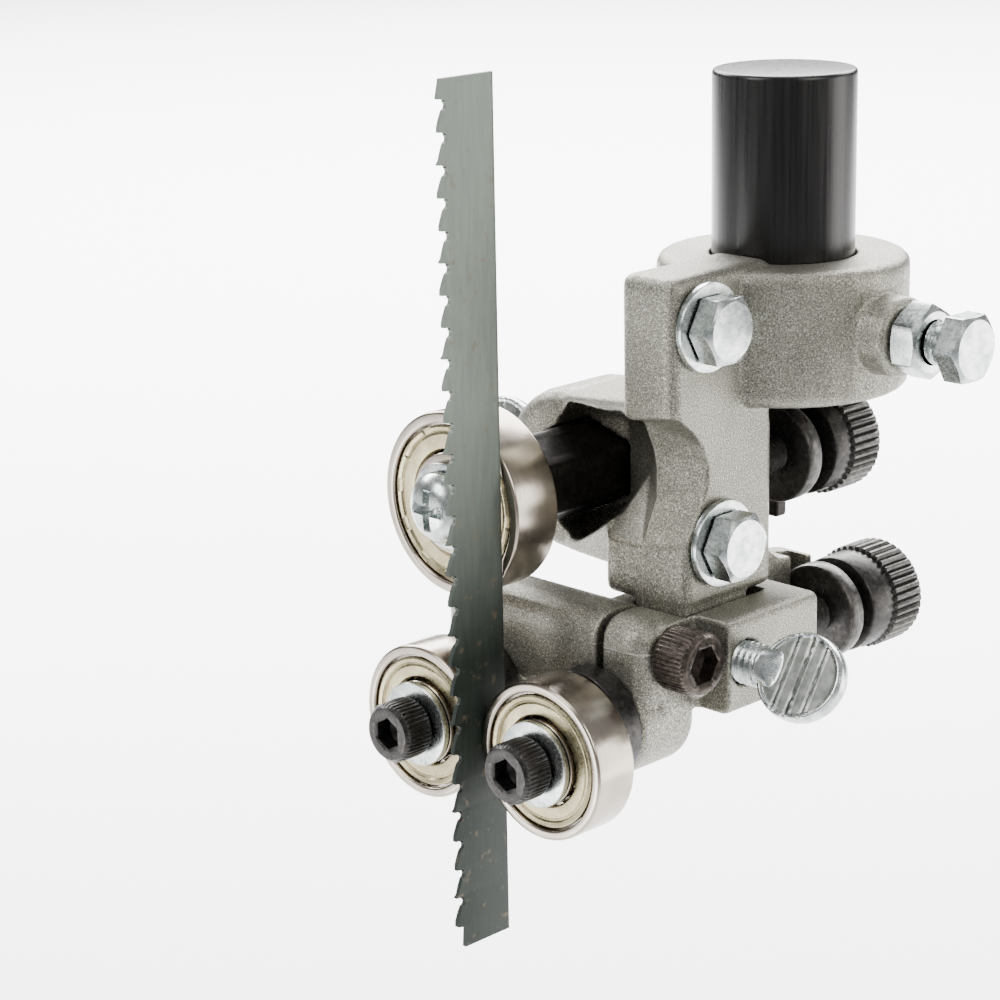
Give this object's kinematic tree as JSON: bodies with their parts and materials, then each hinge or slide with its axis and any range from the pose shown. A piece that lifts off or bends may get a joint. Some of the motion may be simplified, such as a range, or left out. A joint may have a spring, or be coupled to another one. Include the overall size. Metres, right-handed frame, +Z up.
{
  "type": "band saw blade guide",
  "caption": "Upper ball-bearing blade guide of a band saw, on the end of its guide post: thrust bearing behind the blade and two side bearings on eccentric bushings.",
  "frame": {"origin": "middle of the guide post's top face, on the post's axis", "axes": "+Z up along the post, -Y to the front of the saw, where the teeth point, +X to the operator's right"},
  "size_m": [0.0834, 0.0783, 0.1203],
  "materials": {
    "cast_metal": "blasted casting",
    "black_post": "satin black bar",
    "bearing_steel": "ground and polished",
    "bearing_shield": "pressed sheet",
    "ball_steel": "polished",
    "zinc": "bright zinc plate",
    "black_oxide": "black oxide, oiled",
    "blade_steel": "rolled strip, oiled"
  },
  "bodies": {
    "post": {"guide_post": "black_post"},
    "bracket": {"guide_bracket": "cast_metal", "upper_guard_bolt": "zinc", "lower_guard_bolt": "zinc", "upper_guard_washer": "zinc", "lower_guard_washer": "zinc"},
    "set_bolt": {"set_bolt": "zinc"},
    "jam_nut": {"jam_nut": "zinc"},
    "thrust_shaft": {"thrust_shaft": "black_oxide", "shift_plate": "black_oxide", "plate_screw": "black_oxide", "thrust_bearing_inner_ring": "bearing_steel", "thrust_washer": "zinc", "thrust_screw": "zinc"},
    "thrust_ring": {"thrust_bearing_outer_ring": "bearing_steel", "thrust_bearing_front_shield": "bearing_shield", "thrust_bearing_rear_shield": "bearing_shield"},
    "thrust_cage": {"thrust_bearing_ball_cage": "ball_steel"},
    "upper_knob": {"upper_adjusting_knob": "black_oxide"},
    "thrust_lock": {"thrust_lock_screw": "zinc"},
    "carriage": {"side_guide_carriage": "cast_metal"},
    "lower_knob": {"lower_adjusting_knob": "black_oxide"},
    "carriage_lock": {"carriage_lock_screw": "zinc"},
    "blade": {"saw_blade": "blade_steel"},
    "right_clamp": {"right_clamp_screw": "black_oxide"},
    "right_bushing": {"right_eccentric_bushing": "black_oxide", "right_bearing_inner_ring": "bearing_steel", "right_washer": "zinc", "right_bearing_screw": "black_oxide"},
    "right_ring": {"right_bearing_outer_ring": "bearing_steel", "right_bearing_front_shield": "bearing_shield", "right_bearing_rear_shield": "bearing_shield"},
    "right_cage": {"right_bearing_ball_cage": "ball_steel"},
    "left_set": {"left_set_screw": "black_oxide"},
    "left_bushing": {"left_eccentric_bushing": "black_oxide", "left_bearing_inner_ring": "bearing_steel", "left_washer": "zinc", "left_bearing_screw": "black_oxide"},
    "left_ring": {"left_bearing_outer_ring": "bearing_steel", "left_bearing_front_shield": "bearing_shield", "left_bearing_rear_shield": "bearing_shield"},
    "left_cage": {"left_bearing_ball_cage": "ball_steel"}
  },
  "joints": [
    {"name": "guide_height", "type": "slide", "parent": "post", "child": "bracket", "axis": [0, 0, 1], "range_m": [-0.006, 0]},
    {"name": "set_bolt_turn", "type": "hinge", "parent": "bracket", "child": "set_bolt", "pos_m": [0.0155, 0, -0.0348], "axis": [1, 0, 0], "range_deg": [0, 360]},
    {"name": "jam_nut_turn", "type": "hinge", "parent": "bracket", "child": "jam_nut", "pos_m": [0.0085, 0, -0.0348], "axis": [1, 0, 0], "range_deg": [0, 360]},
    {"name": "thrust_reach", "type": "slide", "parent": "bracket", "child": "thrust_shaft", "axis": [0, 1, 0], "range_m": [0, 0.009]},
    {"name": "thrust_roll", "type": "hinge", "parent": "thrust_shaft", "child": "thrust_ring", "pos_m": [-0.0228, -0.0397, -0.0572], "axis": [0, 1, 0], "continuous": true},
    {"name": "thrust_cage_roll", "type": "hinge", "parent": "thrust_shaft", "child": "thrust_cage", "pos_m": [-0.0228, -0.0397, -0.0572], "axis": [0, 1, 0], "continuous": true},
    {"name": "upper_knob_turn", "type": "hinge", "parent": "thrust_shaft", "child": "upper_knob", "pos_m": [0.0015, -0.0026, -0.0537], "axis": [0, 1, 0], "range_deg": [0, 3240]},
    {"name": "thrust_lock_turn", "type": "hinge", "parent": "bracket", "child": "thrust_lock", "pos_m": [-0.0325, -0.013, -0.0572], "axis": [-1, 0, 0], "range_deg": [-360, 0]},
    {"name": "carriage_reach", "type": "slide", "parent": "bracket", "child": "carriage", "axis": [0, 1, 0], "range_m": [-0.003, 0]},
    {"name": "lower_knob_turn", "type": "hinge", "parent": "bracket", "child": "lower_knob", "pos_m": [0.0015, 0.0062, -0.0798], "axis": [0, 1, 0], "range_deg": [-1080, 0]},
    {"name": "carriage_lock_turn", "type": "hinge", "parent": "carriage", "child": "carriage_lock", "pos_m": [0.0135, -0.0223, -0.0775], "axis": [1, 0, 0], "range_deg": [-360, 0]},
    {"name": "blade_run", "type": "slide", "parent": "post", "child": "blade", "axis": [0, 0, 1], "range_m": [-0.01, 0.01]},
    {"name": "right_clamp_screw_turn", "type": "hinge", "parent": "carriage", "child": "right_clamp", "pos_m": [0.0075, -0.0314, -0.0756], "axis": [1, 0, 0], "range_deg": [-360, 0]},
    {"name": "right_bearing_swing", "type": "hinge", "parent": "carriage", "child": "right_bushing", "pos_m": [-0.00135, -0.04, -0.0855], "axis": [0, -1, 0], "range_deg": [0, 60]},
    {"name": "right_bearing_roll", "type": "hinge", "parent": "right_bushing", "child": "right_ring", "pos_m": [-0.00135, -0.0454, -0.088], "axis": [0, 1, 0], "range_deg": [-60, 60]},
    {"name": "right_cage_roll", "type": "hinge", "parent": "right_bushing", "child": "right_cage", "pos_m": [-0.00135, -0.0454, -0.088], "axis": [0, 1, 0], "range_deg": [-40, 40]},
    {"name": "left_set_screw_turn", "type": "hinge", "parent": "carriage", "child": "left_set", "pos_m": [-0.0258, -0.0325, -0.075], "axis": [0, 0, 1], "range_deg": [-360, 0]},
    {"name": "left_bearing_swing", "type": "hinge", "parent": "carriage", "child": "left_bushing", "pos_m": [-0.0243, -0.04, -0.0855], "axis": [0, 1, 0], "range_deg": [0, 60]},
    {"name": "left_bearing_roll", "type": "hinge", "parent": "left_bushing", "child": "left_ring", "pos_m": [-0.0243, -0.0454, -0.088], "axis": [0, 1, 0], "range_deg": [-60, 60]},
    {"name": "left_cage_roll", "type": "hinge", "parent": "left_bushing", "child": "left_cage", "pos_m": [-0.0243, -0.0454, -0.088], "axis": [0, 1, 0], "range_deg": [-40, 40]}
  ],
  "couplings": [
    {"joint": "thrust_cage_roll", "follows": "thrust_roll", "ratio": 0.6},
    {"joint": "upper_knob_turn", "follows": "thrust_reach", "rad_per_m": 6283.2},
    {"joint": "lower_knob_turn", "follows": "carriage_reach", "rad_per_m": 6283.2},
    {"joint": "right_bearing_roll", "follows": "blade_run", "rad_per_m": 90.909},
    {"joint": "right_cage_roll", "follows": "blade_run", "rad_per_m": 54.545},
    {"joint": "left_bearing_roll", "follows": "blade_run", "rad_per_m": -90.909},
    {"joint": "left_cage_roll", "follows": "blade_run", "rad_per_m": -54.545}
  ]
}
